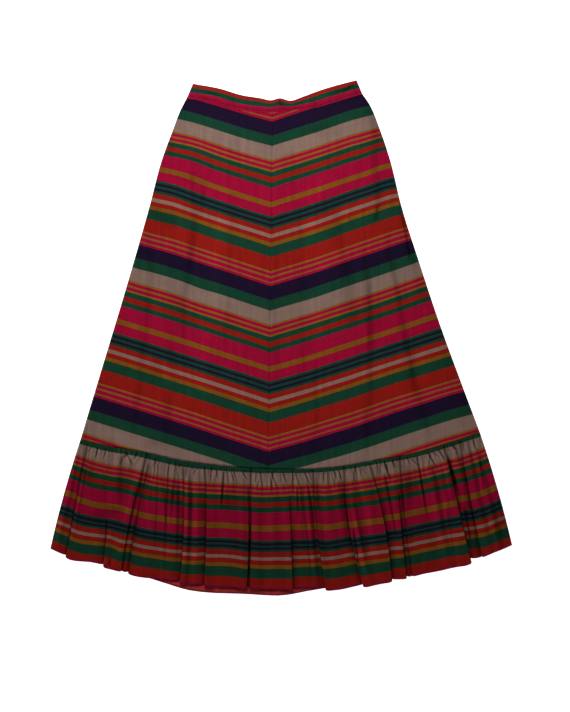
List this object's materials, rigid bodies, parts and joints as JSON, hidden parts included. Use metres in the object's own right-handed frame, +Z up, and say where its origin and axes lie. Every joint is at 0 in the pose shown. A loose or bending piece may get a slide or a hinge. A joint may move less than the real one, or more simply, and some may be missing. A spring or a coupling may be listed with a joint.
{
  "type": "maxi skirt with a gathered ruffle, laid flat",
  "caption": "Long flared skirt of striped cotton cut on the bias, with a shaped waistband and a gathered ruffle at the hem, laid out flat.",
  "frame": {"origin": "centre of the skirt's box on the surface that it lies on", "axes": "+Z up from the surface and out of the front, +Y towards the waist, +X towards the wearer's left"},
  "size_m": [0.9232, 1.0281, 0.0119],
  "materials": {
    "striped_cotton": "plain-woven cotton, striped in the yarn, slight sheen",
    "ruffle_cotton": "plain-woven striped cotton, gathered",
    "waistband_cotton": "plain-woven striped cotton, topstitched",
    "zip_tape": "woven polyester tape with a moulded coil",
    "zip_metal": "lacquered zinc with a satin face"
  },
  "bodies": {
    "root": {"front_right": "striped_cotton", "front_left": "striped_cotton", "back_right": "striped_cotton", "back_left": "striped_cotton", "waistband_front": "waistband_cotton", "waistband_back_right": "waistband_cotton", "waistband_back_left": "waistband_cotton", "ruffle_front": "ruffle_cotton", "ruffle_back": "ruffle_cotton", "back_zip": "zip_tape", "back_zip_slider": "zip_metal"}
  },
  "joints": []
}
